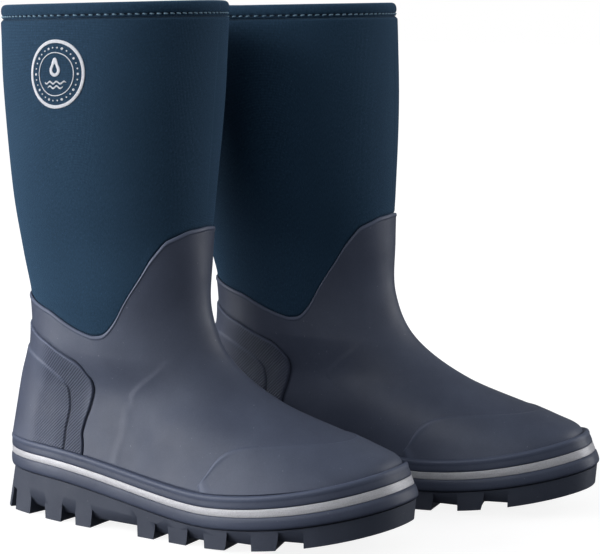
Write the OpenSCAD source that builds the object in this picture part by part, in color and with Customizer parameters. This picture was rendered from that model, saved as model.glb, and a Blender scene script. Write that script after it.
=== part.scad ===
// Pair of children's pull-on rubber boots: neoprene shaft and sock, rubber galosh, lugged outsole.
// Each boot is drawn as the right boot, with its heel at the origin and its toe towards -Y, then put in place.
// f is the distance forward from the back of the heel and s the distance sideways, outwards positive.

/* [Sole] */
// Length of the sole band from heel to toe
boot_len = 226; // [210:1:240]
// Half width of the sole band on the outer side, at the ball of the foot
outer_half_w = 45.5; // [43:0.5:48]
// Half width of the sole band on the inner side, at the ball of the foot
inner_half_w = 37.5; // [36:0.5:40]
// Height of the sole band
band_h = 16.7; // [15:0.1:19]
// Height of the band's lower edge above the floor at the heel
heel_h = 22; // [18:0.5:25]
// Height of the band's lower edge above the floor at the ball
ball_h = 10; // [9:0.5:12]
// Rise of the toe above the floor
toe_spring = 15.6; // [12:0.5:20]

/* [Tread] */
// Depth of the gaps between the heel lugs
heel_gap_h = 4.5; // [3:0.5:6]
// Depth of the gaps between the forefoot lugs
fore_gap_h = 3; // [2:0.5:4]
// Height over which the wall slopes in above a gap
gap_slope_h = 5.5; // [4:0.5:6]
// How far the side gaps reach in from the edge
gap_reach = 21; // [15:1:24]

/* [Upper] */
// Thickness of the rubber galosh
galosh_t = 1.3; // [1:0.1:1.5]
// Thickness of the neoprene
neoprene_t = 3.4; // [3:0.1:4]
// Thickness of the jersey lining
lining_t = 0.8; // [0.6:0.1:1]
// Height of the rolled binding round the top edge
binding_h = 6.8; // [5:0.2:9]
// Stitches round the binding
stitch_count = 96; // [60:4:120]
// Diameter of the round badge
badge_d = 33; // [24:1:36]

/* [Insole] */
// Thickness of the foam insole
insole_t = 4; // [3:0.5:5]
// Gap between the insole and the lining
insole_gap = 2.5; // [2:0.5:4]

/* [Stance] */
// Back of the right heel
right_at = [-55, 137.5]; // [-200:1:200]
// Back of the left heel
left_at = [40.5, 83.5]; // [-200:1:200]
// Turn of the left boot, toe outwards
left_yaw = 5.5; // [0:0.5:10]
// Lean of the left shaft's top edge, forward and outwards
left_lean = [-11, 4.5]; // [-15:0.5:15]

/* [Hidden] */

columns = 36;                 // points in one ring
widest = 0.615;               // where the sole is widest, as a share of its length
band_back_round = 2.4;        // superellipse exponents of the band's outline
band_front_outer_round = 2.4;
band_front_inner_round = 2.1;
arch_at = 0.38;               // centre and spread of the waist under the arch
arch_spread = 0.23;
arch_outer = 4.5;             // how far the waist draws in on each side
arch_inner = 8.5;
toe_bend = 2.5;               // how far the toe turns inwards
toe_lean = 0.42;              // how far the band leans back at the toe, for a millimetre of its height
heel_end = 0.14;              // where the sole line starts to fall, reaches the ball and rises again
ball_start = 0.635;
spring_start = 0.535;
TOP = 8;                      // slice number of the top edge
rim_mm = 46.8;                // height between the last two slices

// Slices of the upper, from the band to the top edge:
// back f, back z, front f, front z, widest share, outer and inner half width, back and front roundness
SLICES = [
    [2, sole_z(2) + band_h, 216, sole_z(216) + band_h, 0.60, 42.5, 35.5, 2.45, 2.25],
    [4, 52, 202.4, 48.7, 0.56, 36, 33, 2.5, 2.1],
    [7, 70, 156.7, 64.3, 0.50, 30, 28, 2.4, 1.75],
    [13, 90, 125.5, 84, 0.46, 31.5, 30, 2.3, 1.75],
    [12, 112, 113, 108, 0.46, 31, 30.5, 2.2, 1.85],
    [6.5, 135, 112, 136, 0.48, 32, 32, 2.1, 2.1],
    [3, 165, 113, 168, 0.48, 39.5, 39.5, 2.1, 2.1],
    [0.5, 211.5, 116.5, 215.5, 0.48, 45, 45, 2.1, 2.1],
    [-3, 259.2, 120, 262.5, 0.48, 43.5, 43.5, 2.1, 2.1]
];
toe_steep = [-1.1, 15.5];     // how the front of the upper leaves the band: f and z over one slice
// Top edge of the galosh: angle round the boot from the toe, slice number
GALOSH_EDGE = [
    [0, 5.52], [20, 5.48], [38, 5.32], [50, 4.97], [60, 4.43], [70, 3.79],
    [78, 3.47], [87, 3.42], [96, 3.53], [115, 3.82], [150, 4.04], [180, 4.1]
];
// Heel counter: front edge as slice number, angle, and top edge as angle, slice number
COUNTER_FRONT = [[0, 118], [1.1, 114], [1.7, 105], [2.05, 100], [2.4, 97.5]];
COUNTER_TOP = [[97.5, 2.4], [102, 2.75], [112, 3], [150, 3.4], [180, 3.52]];
// Gaps between the side lugs: where each starts and ends along the edge of the sole
GAPS = [
    [5.5, 11.5], [21, 34.5], [44, 55.5], [63.5, 94.5],
    [102.5, 113.5], [122, 134.5], [144.5, 160.5], [171.5, 186.5]
];
lug_slant = 3.2;              // how much longer a lug is at its root than at its foot
heel_lugs_end = 98;           // distance forward where the heel's lugs end
slope_in = 4;                 // depth of the slope above a side gap
tread_in = -2;                // how far the tread's edge lies outside the band's outline
heel_flare = 4.5;             // how far the heel's back edge flares out beyond that
heel_flare_end = 30;
past = 6;                     // how far a cutter reaches past the face it cuts
groove_places = [28 : 22 : 160];
groove_l = 22;                // length, width and sideways place of the grooves across the middle
groove_w = 6;
groove_shift = 2;
toe_cap_top = 1.25;           // slice reached by the toe cap
toe_cap_end = 91;             // angle where the toe cap's edge comes down to the band
toe_cap_corner = 8;           // how square the toe cap's corners are
toe_cap_proud = 0.9;
counter_proud = 1;            // how far the heel counter's border and its inner level stand proud
counter_inner_proud = 1.6;
counter_inner_share = 0.87;   // shares of the counter's width and height that the inner level takes
counter_inner_height = 0.77;
counter_top = 2.4;            // slice where the counter's front edge meets its top edge
badge_slice = 7.28;           // centre of the badge
badge_angle = 93;  
badge_deg = 0.89;             // degrees round the shaft for a millimetre there
badge_sides = 26;
stitch = [2.1, 0.5, 0.8];     // length, thickness and height of one stitch
stitch_out = 0.68;            // how far a stitch's middle stands out from the nominal surface

ply_gap = 0.15;               // gap between two flat plies
lining_gap = 0.4;             // gap between the lining and the neoprene
curve_gap = 0.5;              // gap between two plies that bend sharply at the instep
glue_gap = 0.5;               // gap under an overlay, which its glue fills
galosh_out = 0.3;             // offsets of each layer from the nominal surface, outwards
galosh_in = galosh_out - galosh_t;
sock_out = galosh_in - curve_gap;
shaft_out = -0.6;
neoprene_in = sock_out - neoprene_t;
lining_out = neoprene_in - lining_gap;
lining_in = lining_out - lining_t;
skirt_out = -1;               // offsets of the layers inside the band
skirt_in = skirt_out - galosh_t;
skirt_sock_out = skirt_in - ply_gap;
skirt_sock_in = skirt_sock_out - neoprene_t;
skirt_lining_out = skirt_sock_in - lining_gap;
skirt_lining_in = skirt_lining_out - lining_t;
sole_joint = 0.4;             // groove between the tread and the band
midsole_top = 2;              // heights of the layers above the band's lower edge
board_top = 3.2;
sock_floor = board_top + ply_gap;
sock_floor_top = 5.7;
insole_bottom = 5.9;
insole_top = insole_bottom + insole_t;
cover_top = insole_top + 0.6;
skirt_top = band_h - 2.2;     // where the layers inside the band meet the upper
shaft_foot = 3;               // slice where the shaft is sewn to the sock
binding_root = 1.6;           // depth of the shaft's cut edge under the binding's crown
FOOT_ROWS = [0.08, 0.5, 1, 1.5, 2, 2.5, shaft_foot];   // slices that a layer of the foot is skinned over
FOOT_INNER_ROWS = [0.08, 0.5, 1, 1.6, 2.3, shaft_foot];
LEG_INNER_ROWS = [3.8, 5, 6.5, rim(binding_h), rim(binding_root)];

// Smooth step from 0 to 1
function smooth(x) = let (c = min(1, max(0, x))) c * c * (3 - 2 * c);
// Power that keeps the sign
function spow(x, e) = sign(x) * pow(abs(x), e);
// Rise of the forefoot towards the toe
function rise(f) = max(0, (f / boot_len - spring_start) / (1 - spring_start));
function spring_z(f) = toe_spring * pow(rise(f), 2);
// Height of the band's lower edge at distance f
function sole_z(f) = ball_h + spring_z(f)
    + (heel_h - ball_h) * (1 - smooth((f / boot_len - heel_end) / (ball_start - heel_end)));
// Sideways place after the waist (k is its strength) and the bend of the toe
function bent(f, s, k) = let (x = f / boot_len, w = exp(-pow((x - arch_at) / arch_spread, 2)))
    s - k * w * (s >= 0 ? arch_outer : -arch_inner) * min(1, abs(s) / 25)
    - toe_bend * pow(max(0, (x - 0.5) / 0.5), 2);
// Superellipse between fb and ff, as [f, s] at angle a from the toe
function oval(fb, ff, m, outer, inner, nb, nfo, nfi, a) = let (
    c = cos(a), d = sin(a), fm = fb + (ff - fb) * m,
    n = c < 0 ? nb : d >= 0 ? nfo : nfi)
    [fm + (c >= 0 ? ff - fm : fm - fb) * spow(c, 2 / n), (d >= 0 ? outer : inner) * spow(d, 2 / n)];
// Point in the right boot's frame
function at(f, s, z) = [-s, -f, z];
// Point of the sole's outline, moved out, at a height above the band's lower edge
function band_at(a, out, h) = let (
    p = oval(-out, boot_len + out, widest, outer_half_w + out, inner_half_w + out,
        band_back_round, band_front_outer_round, band_front_inner_round, a))
    at(p[0] - toe_lean * rise(p[0]) * max(0, h), bent(p[0], p[1], 1), sole_z(p[0]) + h);
// Point of the foot's outline inside the band
function foot_at(a, out, h) = let (q = SLICES[0],
    p = oval(q[0] - out, q[2] + out, q[4], q[5] + out, q[6] + out, q[7], q[8], q[8], a))
    at(p[0], bent(p[0], p[1], 1), sole_z(p[0]) + h);
// Slice at any number, on a smooth curve through the listed ones
function slice(v) = let (
    i = min(max(floor(v), 0), TOP - 1), t = v - i,
    b = SLICES[i], c = SLICES[i + 1],
    a = i > 0 ? SLICES[i - 1] : [for (k = [0 : len(b) - 1])
        k == 2 || k == 3 ? c[k] - 2 * toe_steep[k - 2] : 2 * b[k] - c[k]],
    d = i < TOP - 1 ? SLICES[i + 2] : 2 * c - b)
    0.5 * (2 * b + (c - a) * t + (2 * a - 5 * b + 4 * c - d) * t * t + (3 * b - a - 3 * c + d) * t * t * t);
// Point of the upper's nominal surface at slice v and angle a
function upper_at(v, a) = let (
    q = slice(v), p = oval(q[0], q[2], q[4], q[5], q[6], q[7], q[8], q[8], a), f = p[0],
    share = (f - q[0]) / (q[2] - q[0]),
    dip = smooth(1 - v / 2) * (sole_z(f) - sole_z(q[0]) - (sole_z(q[2]) - sole_z(q[0])) * share),
    z = q[1] + (q[3] - q[1]) * share + dip,
    lean = pow(max(0, (z - 110) / 150), 2) * $lean)
    at(f + lean[0], bent(f, p[1], max(0, 1 - v / 3)) + lean[1], z);
// The same, moved out along the surface's normal
function skin(v, a, out) = let (
    across = upper_at(v, a + 1) - upper_at(v, a - 1),
    along = upper_at(v + 0.02, a) - upper_at(v - 0.02, a),
    n = cross(along, across))
    upper_at(v, a) + out * n / norm(n);
// Angle of a column, and the angle folded to one side
function turn(i) = -(i + 0.5) * 360 / columns;
function fold(a) = let (b = abs(a) % 360) b > 180 ? 360 - b : b;
function galosh_edge(a) = lookup(fold(a), GALOSH_EDGE);
function rim(depth) = TOP - depth / rim_mm;
function steps(from, to, n) = [for (i = [0 : n]) from + (to - from) * i / n];
function reverse(list) = [for (i = [len(list) - 1 : -1 : 0]) list[i]];
function ring(out, h) = [for (i = [0 : columns - 1]) foot_at(turn(i), out, h)];
function band_ring(out, h) = [for (i = [0 : columns - 1]) band_at(turn(i), out, h)];
function skin_ring(v, out) = [for (i = [0 : columns - 1]) skin(v, turn(i), out)];

// Solid skinned over a stack of rings. A ring runs anticlockwise seen from the far end of the stack.
// An open stack is capped at both ends, and a closed one joins its last ring to its first.
module loft(rings, closed = false) {
    n = len(rings[0]);
    m = len(rings);
    top = (m - 1) * n;
    walls = [for (j = [0 : m - (closed ? 1 : 2)]) for (i = [0 : n - 1])
        let (k = (j + 1) % m, l = (i + 1) % n)
        each [[j * n + i, k * n + i, k * n + l], [j * n + i, k * n + l, j * n + l]]];
    caps = closed ? [] : [for (i = [0 : n / 2 - 2])
        let (j = i + 1, k = n - 2 - i, l = n - 1 - i)
        each [[i, j, k], [i, k, l], [top + k, top + j, top + i], [top + l, top + k, top + i]]];
    polyhedron([for (r = rings) each r], concat(walls, caps), convexity = 6);
}
// Tube round the whole boot from one closed section a column, inner side upwards then outer side downwards
module sweep(sections) loft(sections, closed = true);
// Layer of the foot between two heights, at one offset
module layer(out, low, high) loft([ring(out, low), ring(out, high)]);

// One gap in the edge of the tread: side is 1 outside, -1 inside; f0 to f1 is its stretch of the edge
module side_gap(side, f0, f1) {
    a0 = edge_point(side, f0);
    a1 = edge_point(side, f1);
    along = (a1 - a0) / norm(a1 - a0);
    inward = [along[1], -along[0]] * side;
    mid = (f0 + f1) / 2;
    foot = spring_z(mid);
    gap_h = mid < heel_lugs_end ? heel_gap_h : fore_gap_h;
    profile = [
        [-past, gap_h + gap_slope_h * (1 + past / slope_in)], [slope_in, gap_h], [gap_reach, gap_h],
        [gap_reach, -past], [slope_in, -past], [-past, -past]
    ];
    start = [for (p = profile) let (
        slant = lug_slant * max(0, p[1]) / (gap_h + gap_slope_h),
        q = a0 + inward * p[0] + along * slant)
        at(q[0], q[1], foot + p[1])];
    end = [for (p = profile) let (q = a1 + inward * p[0]) at(q[0], q[1], foot + p[1])];
    if (side > 0) loft([reverse(start), reverse(end)]);
    else loft([start, end]);
}
// Point [f, s] of the sole's outline at distance f on one side
function edge_point(side, f) = let (
    fm = boot_len * widest,
    n = f < fm ? band_back_round : side > 0 ? band_front_outer_round : band_front_inner_round,
    span = f < fm ? fm : boot_len - fm,
    half = (side > 0 ? outer_half_w : inner_half_w) - 1.5)
    [f, bent(f, side * half * pow(1 - pow(abs(f - fm) / span, n), 1 / n), 1)];

module outsole() {
    wall = [for (i = [0 : columns - 1]) band_at(turn(i), -1.2, 0)];
    foot = [for (i = [0 : columns - 1]) let (
        q = band_at(turn(i), tread_in, 0),
        p = band_at(turn(i), tread_in + heel_flare * smooth(1 + q[1] / heel_flare_end), 0))
        [p[0], p[1], spring_z(-p[1])]];
    color("dimgray") difference() {
        loft([foot, wall]);
        for (g = GAPS, side = [1, -1]) side_gap(side, g[0], g[1]);
        for (f = groove_places) middle_groove(f, f < heel_lugs_end ? heel_gap_h : fore_gap_h);
    }
}
// Groove across the middle of the tread
module middle_groove(f, h)
    translate([groove_shift - groove_l / 2, -f - groove_w, spring_z(f) - past])
        cube([groove_l, groove_w, h + past]);

module midsole() color("slategray") layer(skirt_sock_out, sole_joint + 0.2, midsole_top);
module insole_board() color("burlywood") layer(skirt_sock_out, midsole_top, board_top);

module sole_band() {
    section = [[0, skirt_out, sole_joint], [0, skirt_out, band_h - 2], [0, 0.35, band_h],
        [1, -0.8, band_h + 0.1], [1, -0.2, band_h - 1], [1, 0, band_h - 3], [1, 0, band_h - 6],
        [1, 0, band_h - 9.3], [1, 0, 1.5], [1, -1.2, sole_joint]];
    color("slategray") sweep([for (i = [0 : columns - 1])
        [for (p = section) p[0] == 0 ? foot_at(turn(i), p[1], p[2]) : band_at(turn(i), p[1], p[2])]]);
}

module reflective_stripe() {
    section = [[ply_gap, band_h - 9.3], [ply_gap, band_h - 6], [0.45, band_h - 6.2], [0.45, band_h - 9.1]];
    color("silver") sweep([for (i = [0 : columns - 1]) [for (p = section) band_at(turn(i), p[0], p[1])]]);
}

module galosh() {
    color("slategray") sweep([for (i = [0 : columns - 1]) let (
        a = turn(i), edge = galosh_edge(a),
        rows = concat(FOOT_ROWS, [for (t = [1 : 3]) shaft_foot + (edge - shaft_foot) * t / 3]))
        concat(
            [foot_at(a, skirt_in, sock_floor), foot_at(a, skirt_in, skirt_top)],
            [for (v = rows) skin(v, a, galosh_in)],
            [for (v = reverse(rows)) skin(v, a, galosh_out)],
            [foot_at(a, skirt_out - 0.05, skirt_top), foot_at(a, skirt_out - 0.05, sock_floor)])]);
}

// Sheet lying on the upper: each row is one slice or edge line, angles run anticlockwise
module sheet(rows) loft(rows);

module toe_cap() {
    reach = 89;
    angles = steps(reach, -reach, 16);
    color("slategray") sheet([for (t = [0.07, 0.3, 0.6, 0.85, 1])
        concat([for (a = angles) skin(t * cap_edge(a), a, galosh_out + toe_cap_proud)],
            [for (a = reverse(angles)) skin(t * cap_edge(a), a, galosh_out + glue_gap)])]);
}
function cap_edge(a) = toe_cap_top * (1 - pow(abs(a) / toe_cap_end, toe_cap_corner));

module heel_counter() {
    half = [1, 0.88, 0.86, 0.74, 0.62, 0.5, 0.38, 0.26, 0.13];
    shares = concat(half, [0], -1 * reverse(half));
    heights = [0.03, 0.25, 0.5, 0.76, 0.79, 1];
    color("slategray") sheet([for (t = heights) concat(
        [for (s = shares) counter_at(s, t, galosh_out + counter_height(s, t))],
        [for (s = reverse(shares)) counter_at(s, t, galosh_out + glue_gap)])]);
}
function counter_height(s, t) =
    abs(s) < counter_inner_share && t < counter_inner_height ? counter_inner_proud : counter_proud;
// Point of the heel counter: s is the share from the back to its front edge, t the share of its height
function counter_at(s, t, out) = let (
    front = lookup(counter_top * t, COUNTER_FRONT), a = 180 + s * (180 - front),
    top = lookup(180 - abs(s) * (180 - COUNTER_TOP[0][0]), COUNTER_TOP))
    skin(t * top, a, out);

module neoprene_sock() {
    color("darkslategray") loft(concat(
        [ring(skirt_sock_out, sock_floor), ring(skirt_sock_out, skirt_top)],
        [for (v = FOOT_ROWS) skin_ring(v, sock_out)],
        [for (v = reverse(FOOT_INNER_ROWS)) skin_ring(v, neoprene_in)],
        [ring(skirt_sock_in, skirt_top), ring(skirt_sock_in, sock_floor_top)]));
}

module neoprene_shaft() {
    edge_step = 0.02;
    color("midnightblue") sweep([for (i = [0 : columns - 1]) let (
        a = turn(i), edge = galosh_edge(a),
        covered = [for (t = [0 : 3]) shaft_foot + (edge - edge_step - shaft_foot) * t / 3],
        open = concat(steps(edge + edge_step, rim(binding_h), 4), [rim(binding_root)]))
        concat(
            [for (v = concat([shaft_foot], LEG_INNER_ROWS)) skin(v, a, neoprene_in)],
            [for (v = reverse(open)) skin(v, a, shaft_out)],
            [for (v = reverse(covered)) skin(v, a, sock_out)])]);
}

module lining() {
    rows = concat(FOOT_INNER_ROWS, LEG_INNER_ROWS);
    foot = sock_floor_top + 0.1;
    color("gray") sweep([for (i = [0 : columns - 1]) let (a = turn(i)) concat(
        [foot_at(a, skirt_lining_in, foot), foot_at(a, skirt_lining_in, skirt_top)],
        [for (v = rows) skin(v, a, lining_in)],
        [for (v = reverse(rows)) skin(v, a, lining_out)],
        [foot_at(a, skirt_lining_out, skirt_top), foot_at(a, skirt_lining_out, foot)])]);
}

module top_binding() {
    inner = lining_in - ply_gap;
    outer = shaft_out + ply_gap;
    root = binding_root - ply_gap;
    section = [[inner - 0.7, binding_h], [inner - 0.7, root], [inner + 0.5, 0.3], [-3, 0], [-1, 0.3],
        [0.2, root], [0.4, 4], [0.2, binding_h], [outer, binding_h], [outer, root],
        [inner, root], [inner, binding_h]];
    color("steelblue") sweep([for (i = [0 : columns - 1])
        [for (p = section) skin(rim(p[1]), turn(i), p[0])]]);
}

module binding_stitching() {
    depth = binding_h - 1.1;
    color("lightsteelblue") for (i = [0 : stitch_count - 1]) {
        a = i * 360 / stitch_count;
        p = skin(rim(depth), a, stitch_out);
        q = skin(rim(depth), a + 2, stitch_out) - p;
        translate(p) rotate([0, 0, atan2(q[1], q[0])]) cube(stitch, center = true);
    }
}

module back_seam() {
    angles = [183.2, 180, 176.8];
    low = galosh_edge(180) + 0.05;
    color("midnightblue") sheet([for (v = steps(low, rim(binding_h + 0.3), 8))
        concat([for (a = angles) skin(v, a, shaft_out + 0.6)],
            [for (a = reverse(angles)) skin(v, a, shaft_out + ply_gap)])]);
}

// Point of the badge at radius r and angle t
function badge_at(r, t, out) =
    skin(badge_slice + r * sin(t) / rim_mm, badge_angle - r * cos(t) * badge_deg, out);
// Flat ring printed on the shaft
module badge_ring(r0, r1) loft([for (i = [0 : badge_sides - 1]) let (t = i * 360 / badge_sides)
    [badge_at(r0, t, shaft_out + ply_gap), badge_at(r1, t, shaft_out + ply_gap),
        badge_at(r1, t, shaft_out + 2 * ply_gap), badge_at(r0, t, shaft_out + 2 * ply_gap)]], closed = true);
module badge() {
    color("white") {
        badge_ring(badge_d / 2 - 1.5, badge_d / 2);
        badge_ring(badge_d * 0.14, badge_d * 0.2);
    }
}

module insole() color("darkgray") layer(skirt_lining_in - insole_gap, insole_bottom, insole_top);
module insole_cover() color("lightslategray") layer(skirt_lining_in - insole_gap, insole_top, cover_top);

// Puts a piece of the right boot where the right or the left boot stands
module right() {
    $lean = [0, 0];
    translate([right_at[0], right_at[1], 0]) children();
}
module left() {
    $lean = left_lean;
    translate([left_at[0], left_at[1], 0]) rotate([0, 0, left_yaw]) mirror([1, 0, 0]) children();
}

right() outsole();  // right_outsole
right() midsole();  // right_midsole
right() insole_board();  // right_insole_board
right() sole_band();  // right_sole_band
right() reflective_stripe();  // right_reflective_stripe
right() galosh();  // right_galosh
right() toe_cap();  // right_toe_cap
right() heel_counter();  // right_heel_counter
right() neoprene_sock();  // right_neoprene_sock
right() neoprene_shaft();  // right_neoprene_shaft
right() lining();  // right_lining
right() top_binding();  // right_top_binding
right() binding_stitching();  // right_binding_stitching
right() back_seam();  // right_back_seam
right() badge();  // right_badge
right() insole();  // right_insole
right() insole_cover();  // right_insole_cover
left() outsole();  // left_outsole
left() midsole();  // left_midsole
left() insole_board();  // left_insole_board
left() sole_band();  // left_sole_band
left() reflective_stripe();  // left_reflective_stripe
left() galosh();  // left_galosh
left() toe_cap();  // left_toe_cap
left() heel_counter();  // left_heel_counter
left() neoprene_sock();  // left_neoprene_sock
left() neoprene_shaft();  // left_neoprene_shaft
left() lining();  // left_lining
left() top_binding();  // left_top_binding
left() binding_stitching();  // left_binding_stitching
left() back_seam();  // left_back_seam
left() badge();  // left_badge
left() insole();  // left_insole
left() insole_cover();  // left_insole_cover
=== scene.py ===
"""Looks of a pair of children's neoprene and rubber boots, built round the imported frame.

Each boot is drawn in millimetres as the right boot: f runs forward from the back of the heel, s sideways
with the outer side positive, z up from the floor. Boot.place() puts the points where that boot stands.
Angles run round the boot from the toe (0) over the outer side (90) to the heel (180), in degrees.
"""

import math

import bmesh
import bpy
import numpy as np
from mathutils import Matrix, Vector


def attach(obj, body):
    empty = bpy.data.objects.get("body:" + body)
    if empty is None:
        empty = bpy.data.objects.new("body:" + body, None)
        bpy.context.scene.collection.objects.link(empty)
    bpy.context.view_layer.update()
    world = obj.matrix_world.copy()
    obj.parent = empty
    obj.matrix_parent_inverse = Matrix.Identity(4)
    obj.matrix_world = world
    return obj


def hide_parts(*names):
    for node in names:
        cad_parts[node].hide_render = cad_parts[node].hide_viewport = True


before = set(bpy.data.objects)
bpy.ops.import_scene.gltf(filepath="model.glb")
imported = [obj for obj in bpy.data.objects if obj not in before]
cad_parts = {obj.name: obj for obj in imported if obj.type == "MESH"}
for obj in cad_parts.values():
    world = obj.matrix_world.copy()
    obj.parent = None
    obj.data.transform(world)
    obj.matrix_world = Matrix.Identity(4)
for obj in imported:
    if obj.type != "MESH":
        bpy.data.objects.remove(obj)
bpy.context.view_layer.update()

# ---------------------------------------------------------------- the boot's shape, as in the CAD

BOOT_LEN = 226.0
OUTER_HALF_W = 45.5
INNER_HALF_W = 37.5
BAND_H = 16.7
HEEL_H = 22.0
BALL_H = 10.0
TOE_SPRING = 15.6
SPRING_START = 0.535
HEEL_END = 0.14
BALL_START = 0.635
WIDEST = 0.615
BAND_ROUND = (2.4, 2.4, 2.1)
ARCH_AT = 0.38
ARCH_SPREAD = 0.23
ARCH_OUTER = 4.5
ARCH_INNER = 8.5
TOE_BEND = 2.5
TOE_LEAN = 0.42
TOP = 8
RIM_MM = 46.8


def smooth(x):
    c = np.clip(x, 0, 1)
    return c * c * (3 - 2 * c)


def spow(x, e):
    return np.sign(x) * np.abs(x) ** e


def rise(f):
    """0 up to the ball of the foot, then up to 1 at the toe."""
    return np.maximum(0, (f / BOOT_LEN - SPRING_START) / (1 - SPRING_START))


def spring_z(f):
    return TOE_SPRING * rise(f) ** 2


def sole_z(f):
    """Height of the band's lower edge."""
    fall = smooth((f / BOOT_LEN - HEEL_END) / (BALL_START - HEEL_END))
    return BALL_H + spring_z(f) + (HEEL_H - BALL_H) * (1 - fall)


def bent(f, s, k):
    """Sideways place after the waist under the arch and the bend of the toe."""
    x = f / BOOT_LEN
    waist = np.exp(-(((x - ARCH_AT) / ARCH_SPREAD) ** 2))
    draw = np.where(s >= 0, ARCH_OUTER, -ARCH_INNER) * np.minimum(1, np.abs(s) / 25)
    return s - k * waist * draw - TOE_BEND * np.maximum(0, (x - 0.5) / 0.5) ** 2


def oval(fb, ff, m, outer, inner, nb, nfo, nfi, a):
    """Superellipse between fb and ff, as (f, s) at angle a."""
    c, d = np.cos(np.radians(a)), np.sin(np.radians(a))
    fm = fb + (ff - fb) * m
    n = np.where(c < 0, nb, np.where(d >= 0, nfo, nfi))
    f = fm + np.where(c >= 0, ff - fm, fm - fb) * spow(c, 2 / n)
    return f, np.where(d >= 0, outer, inner) * spow(d, 2 / n)


def at(f, s, z):
    return np.stack(np.broadcast_arrays(-s, -f, z), -1)


SLICES = np.array([
    [2, sole_z(2) + BAND_H, 216, sole_z(216) + BAND_H, 0.60, 42.5, 35.5, 2.45, 2.25],
    [4, 52, 202.4, 48.7, 0.56, 36, 33, 2.5, 2.1],
    [7, 70, 156.7, 64.3, 0.50, 30, 28, 2.4, 1.75],
    [13, 90, 125.5, 84, 0.46, 31.5, 30, 2.3, 1.75],
    [12, 112, 113, 108, 0.46, 31, 30.5, 2.2, 1.85],
    [6.5, 135, 112, 136, 0.48, 32, 32, 2.1, 2.1],
    [3, 165, 113, 168, 0.48, 39.5, 39.5, 2.1, 2.1],
    [0.5, 211.5, 116.5, 215.5, 0.48, 45, 45, 2.1, 2.1],
    [-3, 259.2, 120, 262.5, 0.48, 43.5, 43.5, 2.1, 2.1],
])
TOE_STEEP = (-1.1, 15.5)
BELOW = 2 * SLICES[0] - SLICES[1]
BELOW[2:4] = SLICES[1, 2:4] - 2 * np.array(TOE_STEEP)
ALL_SLICES = np.vstack([BELOW, SLICES, 2 * SLICES[-1] - SLICES[-2]])


def slice_at(v):
    """Slice at any number, on a smooth curve through the listed ones."""
    i = np.clip(np.floor(v).astype(int), 0, TOP - 1)
    t = (v - i)[..., None]
    a, b, c, d = (ALL_SLICES[i + k] for k in range(4))
    curve = 2 * b + (c - a) * t + (2 * a - 5 * b + 4 * c - d) * t**2 + (3 * b - a - 3 * c + d) * t**3
    return np.moveaxis(0.5 * curve, -1, 0)


def rim(depth):
    """Slice number at a depth below the top edge."""
    return TOP - depth / RIM_MM


def rounded_table(points, radius):
    """Lookup through points (angle, value) whose corners are rounded over radius degrees, mirrored at 0 and 180."""
    x, y = np.array(points, float).T
    grid = np.arange(-60, 240.01, 0.25)
    folded = 180 - np.abs(180 - np.abs(grid))
    values = np.interp(folded, x, y)
    reach = np.arange(-4 * radius, 4 * radius + 0.01, 0.25)
    weights = np.exp(-0.5 * (reach / radius) ** 2)
    soft = np.convolve(values, weights / weights.sum(), "same")
    return lambda a: np.interp(a, grid, soft)


def fold(a):
    """Angle folded to one side, 0 to 180."""
    b = np.abs(a) % 360
    return np.where(b > 180, 360 - b, b)


GALOSH_EDGE = rounded_table(
    [(0, 5.52), (20, 5.48), (38, 5.32), (50, 4.97), (60, 4.43), (70, 3.79),
     (78, 3.47), (87, 3.42), (96, 3.53), (115, 3.82), (150, 4.04), (180, 4.1)], 2.2)
# The heel counter's outline and its inner level: (slice, angle) up the front edge, (angle, slice) along the top.
COUNTER_FRONT = [(0, 118.4), (0.8, 116.9), (1.2, 113.3), (1.55, 107.8), (1.9, 102), (2.1, 99.2),
                 (2.25, 98), (2.35, 97.6)]
COUNTER_TOP = [(97.6, 2.35), (97.9, 2.48), (98.5, 2.59), (99.6, 2.68), (101.5, 2.76), (108.5, 2.9), (120.5, 3.1),
               (150, 3.38), (180, 3.5)]
INNER_FRONT = [(0, 125), (0.76, 123.2), (1.14, 120.5), (1.55, 115.8), (1.93, 112.5), (2.3, 110.6), (2.6, 109.5)]
INNER_TOP = [(105, 1.9), (111.8, 2.18), (115, 2.31), (120.2, 2.47), (128.8, 2.62), (142.2, 2.75), (180, 2.88)]
# Gaps between the side lugs, as distances from the back of the heel.
GAPS = [(5.5, 11.5), (21, 34.5), (44, 55.5), (63.5, 94.5), (102.5, 113.5), (122, 134.5),
        (144.5, 160.5), (171.5, 186.5)]

GALOSH_OUT = 0.3
GALOSH_IN = -1.0
SOCK_OUT = -1.5
SHAFT_OUT = -0.6
NEOPRENE_IN = -4.9
LINING_OUT = -5.3
LINING_IN = -6.1
SKIRT_OUT = -1.05
SKIRT_IN = -2.3
SKIRT_SOCK_OUT = -2.45
SKIRT_SOCK_IN = -5.85
SKIRT_LINING_OUT = -6.25
SKIRT_LINING_IN = -7.05
SKIRT_TOP = 14.5
SKIRT_HEM = 3.4
SOLE_JOINT = 0.4
SOCK_FLOOR = 3.35
SOCK_FLOOR_TOP = 5.7
INSOLE_BOTTOM = 5.9
INSOLE_TOP = 9.9
COVER_TOP = 10.5
BINDING_H = 6.8
BINDING_ROOT = 1.6
STITCHES = 96


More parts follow.
